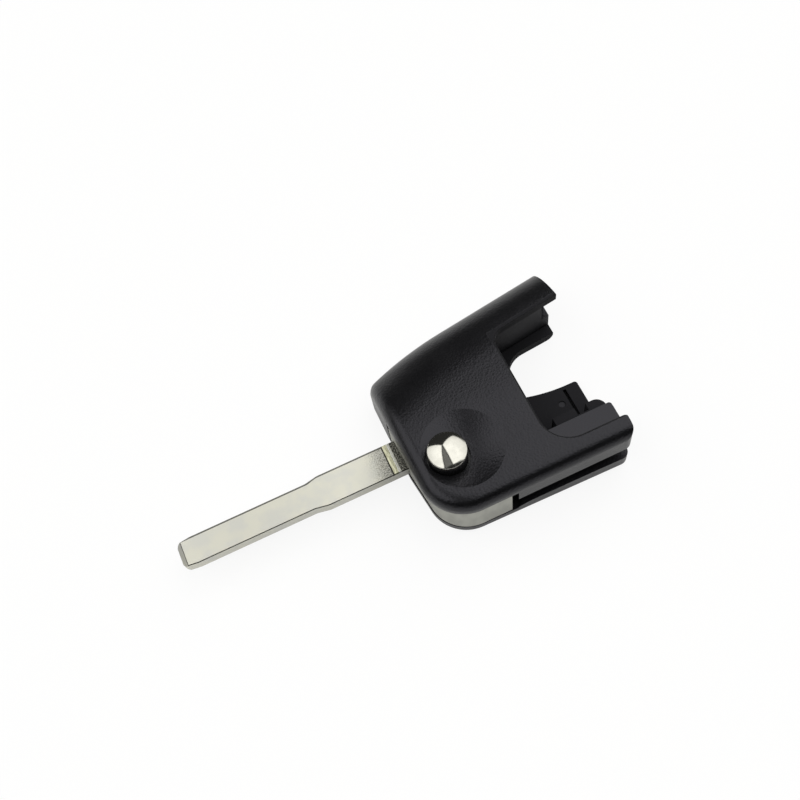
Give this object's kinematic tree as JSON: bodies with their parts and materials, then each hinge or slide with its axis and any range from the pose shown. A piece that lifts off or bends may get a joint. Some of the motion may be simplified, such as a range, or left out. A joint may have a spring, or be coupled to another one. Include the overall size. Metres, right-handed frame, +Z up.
{
  "type": "flip-key head",
  "caption": "Black plastic head of a folding car key with an open rear bay for a remote, a nickel flip-out blade blank, a metal hub and a domed release button.",
  "frame": {"origin": "where the blade's pivot axis meets the flat underside that the head lies on", "axes": "+Z up out of the grained top face; the open blade points along -X and the remote bay opens towards +X; the blade folds into the slot on the -Y side"},
  "size_m": [0.0846, 0.0412, 0.017],
  "materials": {
    "black_plastic": "fine leather grain",
    "nickel_plate": "nickel plated, bright",
    "cast_zinc": "die-cast zinc alloy, bare",
    "polished_chrome": "polished",
    "spring_steel": "drawn wire",
    "zinc_plated_steel": "bright zinc"
  },
  "bodies": {
    "head": {"upper_shell": "black_plastic", "lower_shell": "black_plastic", "spring_seat": "black_plastic", "closing_screw": "zinc_plated_steel", "flip_spring": "spring_steel"},
    "blade": {"blade_hub": "cast_zinc", "key_blade": "nickel_plate", "blade_roll_pin": "spring_steel"},
    "button": {"release_button": "polished_chrome"}
  },
  "joints": [
    {"name": "blade_flip", "type": "hinge", "parent": "head", "child": "blade", "pos_m": [0, 0, 0.006], "axis": [0, 0, 1], "range_deg": [0, 180], "stiffness_Nm_per_rad": 0.01, "springref_deg": -45.84},
    {"name": "button_press", "type": "slide", "parent": "blade", "child": "button", "axis": [0, 0, -1], "range_m": [0, 0.002], "stiffness_N_per_m": 1200, "springref_m": -0.001, "deforming": ["flip_spring"]}
  ]
}
